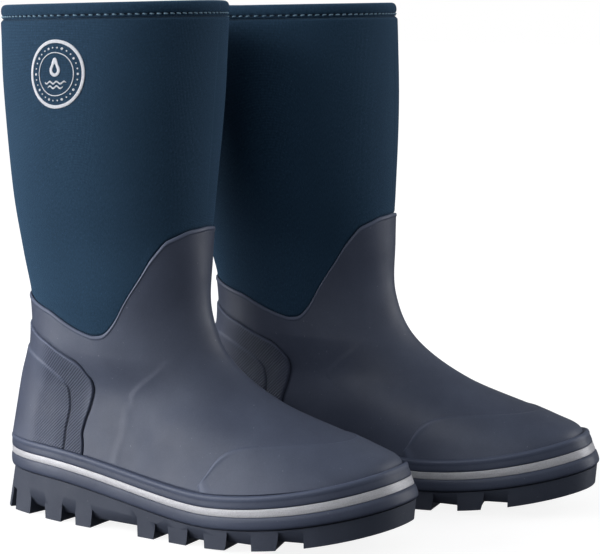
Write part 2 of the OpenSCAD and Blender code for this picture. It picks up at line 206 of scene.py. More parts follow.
class Boot:
    """One boot of the pair: where it stands, and its surfaces as points in millimetres."""

    def __init__(self, side, stands, yaw, lean):
        self.side = side
        self.stands = stands
        self.yaw = math.radians(yaw)
        self.lean = lean
        self.mirror = side == "left"
        self.body = side + "_boot"

    def upper(self, v, a):
        v, a = np.broadcast_arrays(np.asarray(v, float), np.asarray(a, float))
        q = slice_at(v)
        f, s = oval(q[0], q[2], q[4], q[5], q[6], q[7], q[8], q[8], a)
        share = (f - q[0]) / (q[2] - q[0])
        sag = sole_z(f) - sole_z(q[0]) - (sole_z(q[2]) - sole_z(q[0])) * share
        z = q[1] + (q[3] - q[1]) * share + smooth(1 - v / 2) * sag
        lean = np.maximum(0, (z - 110) / 150) ** 2
        return at(f + lean * self.lean[0], bent(f, s, np.maximum(0, 1 - v / 3)) + lean * self.lean[1], z)

    def skin(self, v, a, out):
        """Point of the upper at slice v and angle a, moved out along its normal."""
        v, a, out = np.broadcast_arrays(*(np.asarray(x, float) for x in (v, a, out)))
        across = self.upper(v, a + 1) - self.upper(v, a - 1)
        along = self.upper(v + 0.02, a) - self.upper(v - 0.02, a)
        n = np.cross(along, across)
        return self.upper(v, a) + out[..., None] * n / np.linalg.norm(n, axis=-1, keepdims=True)

    def foot(self, a, out, h):
        """Point of the foot's outline inside the band, at height h above the band's lower edge."""
        a, out, h = np.broadcast_arrays(*(np.asarray(x, float) for x in (a, out, h)))
        q = SLICES[0]
        f, s = oval(q[0] - out, q[2] + out, q[4], q[5] + out, q[6] + out, q[7], q[8], q[8], a)
        return at(f, bent(f, s, 1), sole_z(f) + h)

    def band(self, a, out, h):
        """Point of the sole's outline, at height h above the band's lower edge."""
        a, out, h = np.broadcast_arrays(*(np.asarray(x, float) for x in (a, out, h)))
        f, s = oval(-out, BOOT_LEN + out, WIDEST, OUTER_HALF_W + out, INNER_HALF_W + out, *BAND_ROUND, a)
        return at(f - TOE_LEAN * rise(f) * np.maximum(0, h), bent(f, s, 1), sole_z(f) + h)

    def place(self, points):
        """Points of the right boot in millimetres, put where this boot stands, in metres."""
        x, y, z = np.moveaxis(np.asarray(points, float), -1, 0)
        if self.mirror:
            x = -x
        c, s = math.cos(self.yaw), math.sin(self.yaw)
        return np.stack([c * x - s * y + self.stands[0], s * x + c * y + self.stands[1], z], -1) / 1000


BOOTS = [
    Boot("right", (-55.0, 137.5), 0.0, (0.0, 0.0)),
    Boot("left", (40.5, 83.5), 5.5, (-11.0, 4.5)),
]

# ---------------------------------------------------------------- meshes


def angles_round(n):
    """n angles round the boot, half a step off the toe."""
    return ((np.arange(n) + 0.5) * 360 / n)[None, :]


def ripple(x, y, seed, waves=7):
    """Smooth, aperiodic-looking unevenness between about -1 and 1."""
    draw = np.random.default_rng(seed)
    total = np.zeros(np.broadcast(x, y).shape)
    for _ in range(waves):
        turn, length, phase = draw.uniform(0, 2 * np.pi), draw.uniform(0.6, 1.7), draw.uniform(0, 2 * np.pi)
        total = total + np.sin((x * np.cos(turn) + y * np.sin(turn)) * length + phase)
    return total / waves * 1.6


def flat_uv(p, closed_rows):
    """Coordinates in millimetres along the columns and up the rows, for weaves and grain."""
    if closed_rows:
        p = np.concatenate([p, p[:1]], 0)
    p = np.concatenate([p, p[:, :1]], 1)
    steps_u = np.linalg.norm(np.diff(p, axis=1), axis=-1).max(0)
    steps_v = np.linalg.norm(np.diff(p, axis=0), axis=-1).mean(1)
    u = np.concatenate([[0], np.cumsum(steps_u)])
    v = np.concatenate([[0], np.cumsum(steps_v)])
    return np.stack(np.meshgrid(u, v), -1)


def grid_faces(rows, cols, closed_rows):
    """Quads of a grid whose columns close on themselves, as (vertex numbers, uv numbers)."""
    r = np.arange(rows if closed_rows else rows - 1)
    r, c = (x.ravel() for x in np.meshgrid(r, np.arange(cols), indexing="ij"))
    corners = [(0, 0), (0, 1), (1, 1), (1, 0)]
    verts = [((r + i) % rows) * cols + (c + j) % cols for i, j in corners]
    uvs = [(r + i) * (cols + 1) + c + j for i, j in corners]
    return np.stack(verts, -1), np.stack(uvs, -1)


def cap_faces(first, n, flip):
    """Strips across a ring of n points, so that a curved end stays curved."""
    i = np.arange(n // 2 - 1)
    quads = np.stack([i, i + 1, n - 2 - i, n - 1 - i], -1) + first
    return quads[:, ::-1] if flip else quads


def mesh_object(name, boot, parts, material, slot, *nodes):
    """One object from grids: each part has points, whether its rows close or its ends are capped, and its painted
    light and shade.
    """
    all_points, all_quads, all_uvs, values = [], [], [], []
    count = 0
    for part in parts:
        points = part["points"]
        rows, cols = points.shape[:2]
        closed_rows = part.get("closed_rows", False)
        quads, uv_index = grid_faces(rows, cols, closed_rows)
        uv = flat_uv(points, closed_rows).reshape(-1, 2)[uv_index]
        if part.get("caps"):
            ends = np.concatenate([cap_faces(0, cols, True), cap_faces((rows - 1) * cols, cols, False)])
            quads = np.concatenate([quads, ends])
            uv = np.concatenate([uv, points.reshape(-1, 3)[ends][..., :2]])
        placed = boot.place(points).reshape(-1, 3)
        centred = placed - placed.mean(0)
        a, b, c, d = (centred[quads[:, k]] for k in range(4))
        volume = (a * np.cross(b, c)).sum() + (a * np.cross(c, d)).sum()
        if volume < 0:
            quads, uv = quads[:, ::-1], uv[:, ::-1]
        all_points.append(placed)
        all_quads.append(quads + count)
        all_uvs.append(uv)
        values.append(part.get("painted_light_and_shade", np.zeros(points.shape[:2])).ravel())
        count += len(placed)
    points, quads, uvs = (np.concatenate(x) for x in (all_points, all_quads, all_uvs))
    name = f"{boot.side}_{name}"
    mesh = bpy.data.meshes.new(name)
    mesh.vertices.add(len(points))
    mesh.vertices.foreach_set("co", points.astype(np.float32).ravel())
    mesh.loops.add(quads.size)
    mesh.loops.foreach_set("vertex_index", quads.astype(np.int32).ravel())
    mesh.polygons.add(len(quads))
    mesh.polygons.foreach_set("loop_start", np.arange(0, quads.size, 4, dtype=np.int32))
    mesh.uv_layers.new(name="flat").data.foreach_set("uv", uvs.astype(np.float32).ravel())
    # Per-point painted light and shade: values above 0 paint a highlight on raised edges, values below 0 paint shade
    # in grooves and creases.
    mesh.attributes.new("painted_light_and_shade", "FLOAT", "POINT").data.foreach_set(
        "value", np.concatenate(values).astype(np.float32))
    mesh.update(calc_edges=True)
    mesh.validate()
    mesh.polygons.foreach_set("use_smooth", np.full(len(mesh.polygons), True))
    return dress(bpy.data.objects.new(name, mesh), boot, material, slot, *nodes)


def dress(obj, boot, material, slot, *nodes):
    """Puts an object in the scene, on its body, with its material, in place of its CAD nodes."""
    if obj.name not in bpy.context.scene.collection.objects:
        bpy.context.scene.collection.objects.link(obj)
    obj.data.materials.clear()
    obj.data.materials.append(MAT[material])
    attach(obj, boot.body)
    if nodes:
        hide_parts(*[f"{boot.side}_{n}" for n in nodes])
    return obj


# ---------------------------------------------------------------- materials


def srgb(r, g, b):
    """Linear colour from 0-255 screen values."""
    return tuple(((c / 255 + 0.055) / 1.055) ** 2.4 if c > 10 else c / 255 / 12.92 for c in (r, g, b)) + (1,)


def map_range(tree, value, *limits):
    n = tree.nodes.new("ShaderNodeMapRange")
    tree.links.new(value, n.inputs["Value"])
    for key, number in zip(("From Min", "From Max", "To Min", "To Max"), limits):
        n.inputs[key].default_value = number
    return n.outputs["Result"]


class Shader:
    """A Principled material and short ways to wire its nodes."""

    def __init__(self, name, roughness, specular=0.5, sheen=0.0, sheen_rough=0.5):
        self.material = bpy.data.materials.new(name)
        self.material.use_nodes = True
        self.tree = self.material.node_tree
        self.out = self.tree.nodes["Principled BSDF"]
        settings = {"Roughness": roughness, "Specular IOR Level": specular, "Sheen Weight": sheen,
                    "Sheen Roughness": sheen_rough}
        for key, value in settings.items():
            self.out.inputs[key].default_value = value

    def node(self, kind, **settings):
        n = self.tree.nodes.new(kind)
        for key, value in settings.items():
            setattr(n, key, value)
        return n

    def link(self, a, b):
        self.tree.links.new(a, b)

    def put(self, socket, value):
        if hasattr(value, "links"):
            self.link(value, socket)
        else:
            socket.default_value = value

    def metres(self):
        return self.node("ShaderNodeTexCoord").outputs["Object"]

    def flat(self):
        return self.node("ShaderNodeUVMap", uv_map="flat").outputs["UV"]

    # Reads the per-point value of painted highlights (above 0) and painted shade (below 0).
    def painted_light_and_shade(self):
        return self.node("ShaderNodeAttribute", attribute_name="painted_light_and_shade").outputs["Fac"]

    def texture(self, n, where, **inputs):
        self.link(where, n.inputs["Vector"])
        for key, value in inputs.items():
            n.inputs[key].default_value = value
        return n.outputs["Fac"]

    def noise(self, where, scale, detail=3.0, rough=0.55, stretch=None):
        if stretch:
            m = self.node("ShaderNodeMapping")
            m.inputs["Scale"].default_value = stretch
            self.link(where, m.inputs["Vector"])
            where = m.outputs["Vector"]
        return self.texture(self.node("ShaderNodeTexNoise"), where, Scale=scale, Detail=detail, Roughness=rough)

    def wave(self, where, direction, pitch, distortion=0.0):
        n = self.node("ShaderNodeTexWave", wave_type="BANDS", bands_direction=direction)
        return self.texture(n, where, Scale=math.pi / 10 / pitch, Distortion=distortion)

    def math(self, operation, a, b=0.0):
        n = self.node("ShaderNodeMath", operation=operation)
        self.put(n.inputs[0], a)
        self.put(n.inputs[1], b)
        return n.outputs[0]

    def spread(self, value, low, high, to_low=0.0, to_high=1.0):
        """Maps low..high of a value to to_low..to_high."""
        return map_range(self.tree, value, low, high, to_low, to_high)

    def mix(self, fac, a, b):
        n = self.node("ShaderNodeMix", data_type="RGBA")
        self.put(n.inputs[0], fac)
        self.put(n.inputs[6], a)
        self.put(n.inputs[7], b)
        return n.outputs[2]

    def colour(self, value):
        self.put(self.out.inputs["Base Color"], value)

    def roughness(self, value):
        self.put(self.out.inputs["Roughness"], value)

    def bump(self, heights):
        """heights is a list of (value, depth in millimetres), finest last."""
        normal = None
        for value, depth in heights:
            n = self.node("ShaderNodeBump")
            n.inputs["Distance"].default_value = depth / 1000
            self.link(value, n.inputs["Height"])
            if normal is not None:
                self.link(normal, n.inputs["Normal"])
            normal = n.outputs["Normal"]
        self.link(normal, self.out.inputs["Normal"])


def rubber(name, colour, pale, roughness, grain=0.03, dust=0.25):
    """Satin moulded rubber: cloudy bloom, fine grain, a few specks of dust, painted highlights on raised edges and
    painted shade in grooves.
    """
    s = Shader(name, roughness, specular=0.42)
    where = s.metres()
    clouds = s.spread(s.noise(where, 28, 4, 0.6), 0.32, 0.7)
    fine = s.noise(where, 1700, 2, 0.6)
    specks = s.spread(s.noise(where, 700, 1, 0.4), 0.775, 0.8)
    base = s.mix(clouds, colour, pale)
    base = s.mix(s.spread(fine, 0.3, 0.7, 0.0, 0.16), base, (0.012, 0.014, 0.018, 1))
    # Painted highlight: raised edges, beads and rib crests are mixed towards a paler colour.
    base = s.mix(s.spread(s.painted_light_and_shade(), 0, 1, 0, 0.5), base, tuple(min(1, c * 1.6) for c in pale[:3]) + (1,))
    # Painted shade: grooves and seams are mixed towards near-black.
    base = s.mix(s.spread(s.painted_light_and_shade(), 0, -1, 0, 0.93), base, (0.004, 0.004, 0.006, 1))
    s.colour(s.mix(s.math("MULTIPLY", specks, dust), base, srgb(168, 176, 190)))
    s.roughness(s.spread(s.noise(where, 60, 4, 0.65), 0.3, 0.7, roughness - 0.06, roughness + 0.09))
    s.bump([(s.noise(where, 240, 3, 0.5), 0.05), (fine, grain)])
    return s.material


def knit(name, dark, light, pitch=0.8, sheen=0.25, relief=0.12, roughness=0.86):
    """Fine jersey face: wales and courses, heathered yarns and a soft fuzz."""
    s = Shader(name, roughness, specular=0.22, sheen=sheen, sheen_rough=0.4)
    s.out.inputs["Sheen Tint"].default_value = srgb(104, 140, 176)
    flat, where = s.flat(), s.metres()
    wales = s.wave(flat, "X", pitch, 0.6)
    courses = s.wave(flat, "Y", pitch * 0.8, 0.6)
    loops = s.math("MULTIPLY", wales, courses)
    yarn = s.noise(flat, 1.1, 3, 0.8, stretch=(1.0, 0.6, 1.0))
    patches = s.spread(s.noise(where, 22, 3, 0.6), 0.3, 0.7)
    mixed = s.mix(s.spread(yarn, 0.3, 0.7), dark, light)
    mixed = s.mix(s.math("MULTIPLY", patches, 0.3), mixed, light)
    flecks = s.spread(s.noise(flat, 0.75, 1, 0.5), 0.66, 0.72, 0.0, 0.3)
    mixed = s.mix(flecks, mixed, tuple(min(1, 1.8 * c) for c in light[:3]) + (1,))
    # Painted shade: creases and the gaps between stitches are mixed towards near-black.
    mixed = s.mix(s.spread(s.painted_light_and_shade(), 0, -1, 0, 0.9), mixed, (0.002, 0.003, 0.005, 1))
    s.colour(s.mix(s.spread(loops, 0.0, 0.7, 0.3, 0.0), mixed, (0.004, 0.007, 0.012, 1)))
    s.bump([(s.noise(where, 160, 3, 0.6), 0.12), (loops, relief), (yarn, 0.05)])
    return s.material


def plain(name, colour, other, roughness, scale=300, depth=0.05, specular=0.35):
    """Material for small or inner pieces: two tones mottled together, with a light relief."""
    s = Shader(name, roughness, specular=specular)
    where = s.metres()
    mottle = s.noise(where, scale, 4, 0.65)
    s.colour(s.mix(s.spread(mottle, 0.3, 0.7), colour, other))
    s.bump([(mottle, depth)])
    return s.material


def reflective(name):
    """Silver-grey tape of fine glass beads under a clear film."""
    s = Shader(name, 0.42, specular=0.6)
    s.out.inputs["Metallic"].default_value = 0.1
    where, flat = s.metres(), s.flat()
    beads = s.noise(where, 2600, 1, 0.5)
    streaks = s.noise(flat, 0.5, 3, 0.6, stretch=(0.25, 2.0, 1.0))
    base = s.mix(s.spread(streaks, 0.3, 0.7), srgb(204, 204, 210), srgb(222, 222, 228))
    s.colour(s.mix(s.spread(beads, 0.35, 0.6, 0.22, 0.0), base, srgb(120, 118, 124)))
    s.bump([(beads, 0.03)])
    return s.material


MAT = {
    "galosh": rubber("galosh_rubber", srgb(77, 84, 104), srgb(88, 96, 117), 0.5),
    "cap": rubber("cap_rubber", srgb(79, 86, 106), srgb(90, 98, 119), 0.48),
    "counter": rubber("counter_rubber", srgb(80, 87, 108), srgb(91, 99, 121), 0.5),
    "band": rubber("band_rubber", srgb(73, 80, 101), srgb(83, 91, 112), 0.46),
    "sole": rubber("sole_rubber", srgb(66, 72, 88), srgb(76, 82, 98), 0.56, grain=0.05, dust=0.15),
    "neoprene": knit("neoprene_face", srgb(29, 57, 81), srgb(51, 83, 111), sheen=1.0),
    "binding": knit("binding_tape", srgb(30, 58, 82), srgb(47, 79, 106), pitch=0.7, sheen=0.8),
    "lining": knit("jersey_lining", srgb(66, 74, 84), srgb(92, 100, 110), pitch=1.0, relief=0.2),
    "inner": plain("neoprene_foam", srgb(30, 33, 38), srgb(44, 47, 54), 0.8),
    "thread": plain("thread", srgb(104, 138, 162), srgb(142, 172, 192), 0.6, scale=2500, depth=0.08),
    "seam": knit("seam_tape", srgb(20, 42, 62), srgb(32, 58, 82), pitch=0.6),
    "badge": plain("badge_print", srgb(214, 216, 226), srgb(232, 234, 240), 0.55, scale=900, depth=0.03),
    "stripe": reflective("reflective_tape"),
    "foam": plain("midsole_foam", srgb(52, 54, 60), srgb(66, 68, 76), 0.85, scale=900, depth=0.2),
    "board": plain("fibre_board", srgb(128, 108, 80), srgb(160, 138, 106), 0.85, scale=700, depth=0.1),
    "insole": plain("insole_foam", srgb(48, 54, 62), srgb(64, 70, 80), 0.8, scale=1200, depth=0.15),
    "felt": knit("insole_fabric", srgb(84, 90, 98), srgb(112, 118, 126), pitch=1.2, relief=0.25),
}

# ---------------------------------------------------------------- pieces of the upper

COLS = angles_round(480)[0]
FINE = np.arange(95, 120, 0.16)
GALOSH_COLS = np.sort(np.concatenate([COLS[np.abs(fold(COLS) - 107.4) > 12.7], FINE, 360 - FINE]))
LIP_MM = 1.9
PLY_LINE = rounded_table([(0, 3.75), (30, 3.45), (46.5, 3.08), (75, 2.34), (86, 2.03), (94.8, 1.62), (101, 1.2),
                          (106, 0.7), (109.3, 0.1), (111.5, -0.8), (180, -40)], 1.6)


def mm_per_slice(boot, v, a):
    return np.linalg.norm(boot.upper(v + 0.01, a) - boot.upper(v - 0.01, a), axis=-1) / 0.02


def mm_per_degree(boot, v, a):
    return np.linalg.norm(boot.upper(v, a + 0.5) - boot.upper(v, a - 0.5), axis=-1)


def eased(points, radius):
    """Lookup through points whose corners are rounded over radius, with both ends kept."""
    x, y = np.array(points, float).T
    grid = np.linspace(x[0], x[-1], 400)
    values = np.interp(grid, x, y)
    padded = np.concatenate([2 * values[0] - values[:0:-1], values, 2 * values[-1] - values[-2::-1]])
    reach = np.arange(-398, 399) * (grid[1] - grid[0])
    weights = np.exp(-0.5 * (reach / radius) ** 2)
    soft = np.convolve(padded, weights / weights.sum(), "same")[399:799]
    return lambda q: np.interp(q, grid, soft)


FRONT_LINE = eased(COUNTER_FRONT, 0.1)
TOP_LINE = eased(COUNTER_TOP, 0.35)
INNER_FRONT_LINE = eased(INNER_FRONT, 0.15)
INNER_TOP_LINE = eased(INNER_TOP, 2.5)


def counter_front(t):
    """Angle of the counter's front edge at a share of its height."""
    return FRONT_LINE(COUNTER_FRONT[-1][0] * t)


def counter_top(share):
    return TOP_LINE(180 - np.abs(share) * (180 - COUNTER_TOP[0][0]))


def galosh_relief(boot, v, a):
    """Height of the galosh's outer face over its plain surface: ply step, and the groove round the heel counter."""
    b = fold(a)
    slope = (PLY_LINE(b + 0.5) - PLY_LINE(b - 0.5)) / 0.75
    distance = (v - PLY_LINE(b)) / np.sqrt((1 / 25) ** 2 + slope**2)
    fade = smooth((b - 34) / 26) * smooth((113 - b) / 3)
    ply = 0.24 * smooth(0.5 - distance / 1.5) * fade
    ridge = 0.07 * np.exp(-((distance + 1.0) / 0.7) ** 2) * fade
    return ply + ridge - counter_groove(boot, v, a) + 0.12 * ripple(b / 9, v * 2.2, 3)


def counter_groove(boot, v, a):
    """Depth of the groove that runs close round the heel counter, deepest along its front edge."""
    b = fold(a)
    ahead = (FRONT_LINE(v) - b) * mm_per_degree(boot, v, a)
    above = (v - TOP_LINE(b)) * mm_per_slice(boot, v, a)
    corner = COUNTER_FRONT[-1][0]
    front = 0.85 * np.exp(-((ahead - 0.1) / 0.42) ** 2) * (v <= corner)
    lift = above / np.hypot(1, 1.35 * np.clip((106 - b) / 6, 0, 3))
    top = (0.42 + 0.4 * smooth((108 - b) / 8)) * np.exp(-((lift - 0.15) / 0.42) ** 2) * (v > corner) * (b > 97.2)
    return np.maximum(front, top)


def make_galosh(boot):
    a = GALOSH_COLS[None, :]
    edge = GALOSH_EDGE(fold(GALOSH_COLS))[None, :]
    mm = mm_per_slice(boot, edge - 0.03, a)
    below = np.array([9, 7.5, 6.2, 5, 4, 3.2, 2.6, 2.2, 1.9, 1.6, 1.3, 1.0, 0.8])[:, None]
    high = edge - below / mm
    low = 0.02 + (high[:1] - 0.02) * np.linspace(0, 1, 96)[:-1, None] ** 0.95
    v_out = np.concatenate([low, high])
    depth = (edge - v_out) * mm
    lip = 0.34 * smooth((LIP_MM - depth) / 0.7) * (0.55 + 0.45 * smooth(depth / 1.2))
    outer = boot.skin(v_out, a, GALOSH_OUT + galosh_relief(boot, v_out, a) + lip)
    turn = np.radians(np.linspace(0, 180, 7))[:, None]
    middle, half = (GALOSH_OUT + 0.2 + GALOSH_IN) / 2, (GALOSH_OUT + 0.2 - GALOSH_IN) / 2
    roll = boot.skin(edge + (half * np.sin(turn) - 0.5) / mm, a, middle + half * np.cos(turn))
    v_in = 0.02 + (edge - 1.6 / mm - 0.02) * np.linspace(1, 0, 40)[:, None]
    inner = boot.skin(v_in, a, GALOSH_IN)
    hem = [(SKIRT_IN, SKIRT_TOP), (SKIRT_IN, SKIRT_HEM), (SKIRT_OUT, SKIRT_HEM), (SKIRT_OUT, SKIRT_TOP)]
    skirts = [boot.foot(a, x, h) for x, h in hem]
    points = np.concatenate([outer, roll, inner, *skirts])
    # Painted highlight along the galosh's lip and rolled edge; painted shade in the groove round the heel counter.
    painted_light_and_shade = np.zeros(points.shape[:2])
    rows = len(v_out)
    painted_light_and_shade[:rows] = smooth((LIP_MM - depth) / 0.8) * 0.8 - 1.1 * counter_groove(boot, v_out, a)
    painted_light_and_shade[rows:rows + 4] = 0.9
    mesh_object("galosh_shell", boot, [dict(points=points, closed_rows=True, painted_light_and_shade=painted_light_and_shade)],
                "galosh", "galosh_rubber", "galosh")


def overlay(boot, v, a, out, under, painted_light_and_shade):
    """Closed thin piece lying on the upper from a grid of rows: outer face, then the same grid underneath."""
    top = boot.skin(v, a, out)
    bottom = boot.skin(v, a, under)
    points = np.concatenate([top, bottom[:, ::-1]], 1)
    both = np.concatenate([painted_light_and_shade, np.zeros_like(painted_light_and_shade)], 1)
    return dict(points=points, caps=True, painted_light_and_shade=both)


CAP_TOP = 1.25
CAP_MM_PER_SLICE = 30.0
CAP_MM_PER_DEGREE = 0.62


def make_toe_cap(boot):
    """Thin overlay over the toe, with a soft bead along its edge."""
    a = np.linspace(89.5, -89.5, 300)[None, :]
    t = np.concatenate([np.linspace(0.01, 0.94, 50), np.linspace(0.95, 1, 12)])[:, None]
    edge = CAP_TOP * (1 - (np.abs(a) / 91.5) ** 8)
    v = t * edge
    near = np.minimum((edge - v) * CAP_MM_PER_SLICE, (90 - np.abs(a)) * CAP_MM_PER_DEGREE + 0 * t)
    rise = 0.62 * np.sqrt(np.clip(1 - (1 - np.clip(near / 1.3, 0, 1)) ** 2, 0, 1))
    side = smooth((np.abs(a) - 62) / 18)
    bead = 0.28 * np.exp(-((near - 1.3) / 0.75) ** 2) * (0.2 + 0.8 * side)
    out = GALOSH_OUT + galosh_relief(boot, v, a) - 0.1 + rise + bead + 0.5 * smooth(near / 22)
    # Painted highlight along the bead of the cap's edge.
    painted_light_and_shade = 0.7 * np.exp(-((near - 1.2) / 0.9) ** 2) * (0.15 + 0.85 * side)
    part = overlay(boot, v, a, out, GALOSH_OUT - 0.45 + 0 * v, painted_light_and_shade)
    mesh_object("toe_overlay", boot, [part], "cap", "galosh_rubber", "toe_cap")


RIB_PITCH = 1.25
RIB_SLANT = math.radians(46)
INNER_CORNER = 5.0


def lengths(points, axis):
    """Distance in millimetres along an axis of a grid, from its first point."""
    steps = np.linalg.norm(np.diff(points, axis=axis), axis=-1)
    first = np.zeros_like(np.take(steps, [0], axis))
    return np.concatenate([first, np.cumsum(steps, axis)], axis)


def make_heel_counter(boot):
    """Overlay round the heel in two levels, with fine slanted ribs towards its front edges."""
    share = np.concatenate([np.linspace(1, 0.84, 180), np.linspace(0.84, 0.5, 110)[1:], np.linspace(0.5, 0, 40)[1:]])
    share = np.concatenate([-share, share[-2::-1]])[None, :]
    t = np.concatenate([np.linspace(0.005, 0.965, 190), np.linspace(0.97, 1, 9)])[:, None]
    v = t * counter_top(share)
    b = 180 - np.abs(share) * (180 - counter_front(t))
    a = np.where(share < 0, b, 360 - b)
    base = boot.upper(v, a)
    across = lengths(base, 1)
    from_front = np.minimum(across, across[:, -1:] - across)
    up = lengths(base, 0)
    from_top = up[-1:] - up
    edge = np.minimum(from_front, from_top)
    border = 0.95 * np.sqrt(np.clip(1 - (1 - np.clip(edge / 0.9, 0, 1)) ** 2, 0, 1))
    into_front = (fold(a) - INNER_FRONT_LINE(v)) * np.minimum(mm_per_degree(boot, v, a), 2.2)
    into_top = (INNER_TOP_LINE(fold(a)) - v) * mm_per_slice(boot, v, a) * 0.85
    into = INNER_CORNER - np.hypot(np.maximum(INNER_CORNER - into_front, 0), np.maximum(INNER_CORNER - into_top, 0))
    level = 0.62 * smooth(into / 1.0 + 0.2)
    seam = 0.3 * np.exp(-((into + 0.45) / 0.4) ** 2) * smooth((into_top - into_front) / 8 + 0.4)
    phase = (-base[..., 1] * math.sin(RIB_SLANT) - base[..., 2] * math.cos(RIB_SLANT)) / RIB_PITCH
    ribbed = smooth((38 - from_front) / 9) * smooth(edge / 0.8 - 0.6)
    ribs = np.sin(2 * np.pi * phase) * ribbed
    out = GALOSH_OUT + border + level - seam * (1 + 0.5 * ribs) + 0.16 * ribs
    on_top = smooth((from_front - from_top) / 3 + 0.5)
    # Painted highlight on the counter's top edge, the inner level's bevel and the rib crests; painted shade between
    # the ribs and in the seam groove.
    painted_light_and_shade = 0.8 * np.exp(-((edge - 0.7) / 0.6) ** 2) * on_top
    bevel = 0.55 * np.exp(-((into - 0.6) / 0.9) ** 2) * smooth((into_front - into_top) / 6 + 0.2)
    painted_light_and_shade = np.maximum(painted_light_and_shade, bevel) + 0.55 * ribs - 2.2 * seam * (1 + 0.6 * ribs)
    part = overlay(boot, v, a, out, GALOSH_OUT - 0.9 + 0 * v, painted_light_and_shade)
    mesh_object("heel_overlay", boot, [part], "counter", "galosh_rubber", "heel_counter")


SHAFT_MM = 42
UNDER_BINDING = 1.25
TOP_SWELL = 0.45


def shaft_offset(v, a):
    """Offset of the neoprene's face: it swells out of the galosh's edge and is drawn in under the binding."""
    b = fold(a)
    edge = GALOSH_EDGE(b)
    above = (v - edge) * SHAFT_MM
    swell = SOCK_OUT + 0.3 + (SHAFT_OUT - SOCK_OUT - 0.3) * smooth(above / 2.6 + 0.15)
    below = (TOP - v) * RIM_MM - BINDING_H - 0.5
    base = np.where(above < -1.5, SOCK_OUT, swell) - UNDER_BINDING * smooth(-below / 0.6)
    base = base + TOP_SWELL * smooth(below / 1.5) * smooth((v - 5.5) / 2)
    pinch = 0.7 * np.exp(-((rim(BINDING_H + 0.2) - v) * RIM_MM / 0.9) ** 2)
    folds = 0.44 * ripple(np.radians(a) * 3.1, v * 1.7, 11) * smooth(above / 12) * smooth((7.8 - v) / 0.6)
    return base - pinch + folds


def make_shaft(boot):
    a = COLS[None, :]
    edge = GALOSH_EDGE(fold(COLS))[None, :]
    hidden = 3 + (edge - 0.08 - 3) * np.linspace(0, 1, 12)[:, None]
    start = edge + np.linspace(-0.04, 0.2, 12)[:, None]
    top = rim(BINDING_H + 2)
    middle = start[-1:] + (top - start[-1:]) * np.linspace(0, 1, 90)[1:, None]
    last = np.broadcast_to(rim(np.linspace(BINDING_H + 1.8, BINDING_ROOT, 16))[:, None], (16, len(COLS)))
    v = np.concatenate([hidden, start, middle, last])
    outer = boot.skin(v, a, shaft_offset(v, a))
    v_in = np.linspace(rim(BINDING_ROOT), 3, 40)[:, None]
    inner = boot.skin(v_in, a, NEOPRENE_IN)
    depth = (rim(0) - v) * RIM_MM
    painted_light_and_shade = np.zeros((len(v) + len(v_in), len(COLS)))
    # Painted shade in the crease under the binding and where the neoprene meets the galosh's edge.
    painted_light_and_shade[:len(v)] = -0.9 * np.exp(-((depth - BINDING_H - 0.55) / 0.6) ** 2)
    painted_light_and_shade[:len(v)] -= 0.6 * np.exp(-(((v - edge) * mm_per_slice(boot, edge, a) - 0.3) / 0.7) ** 2)
    part = dict(points=np.concatenate([outer, inner]), closed_rows=True, painted_light_and_shade=painted_light_and_shade)
    mesh_object("shaft_neoprene", boot, [part], "neoprene", "neoprene", "neoprene_shaft")


def make_sock(boot):
    a = angles_round(180)
    up = np.linspace(0.04, 3, 40)[:, None]
    rows = [boot.foot(a, SKIRT_SOCK_OUT, SOCK_FLOOR), boot.foot(a, SKIRT_SOCK_OUT, SKIRT_TOP),
            boot.skin(up, a, SOCK_OUT), boot.skin(up[::-1], a, NEOPRENE_IN),
            boot.foot(a, SKIRT_SOCK_IN, SKIRT_TOP), boot.foot(a, SKIRT_SOCK_IN, SOCK_FLOOR_TOP)]
    part = dict(points=np.concatenate(rows), caps=True)
    mesh_object("sock_neoprene", boot, [part], "inner", "neoprene_inner", "neoprene_sock")


def make_lining(boot):
    a = angles_round(240)
    up = np.concatenate([np.linspace(0.04, 7.7, 90), rim(np.linspace(12, BINDING_ROOT, 8))])[:, None]
    puckers = 0.1 * ripple(np.radians(a) * 9, up * 4, 21)
    floor = SOCK_FLOOR_TOP + 0.1
    rows = [boot.foot(a, SKIRT_LINING_IN, floor), boot.foot(a, SKIRT_LINING_IN, SKIRT_TOP),
            boot.skin(up, a, LINING_IN + puckers), boot.skin(up[::-1], a, LINING_OUT),
            boot.foot(a, SKIRT_LINING_OUT, SKIRT_TOP), boot.foot(a, SKIRT_LINING_OUT, floor)]
    part = dict(points=np.concatenate(rows), closed_rows=True)
    mesh_object("jersey_lining", boot, [part], "lining", "jersey_lining", "lining")


STITCH_DEPTH = 5.85
STITCH_OUT = -1.08
CREASE_OUT = -1.2


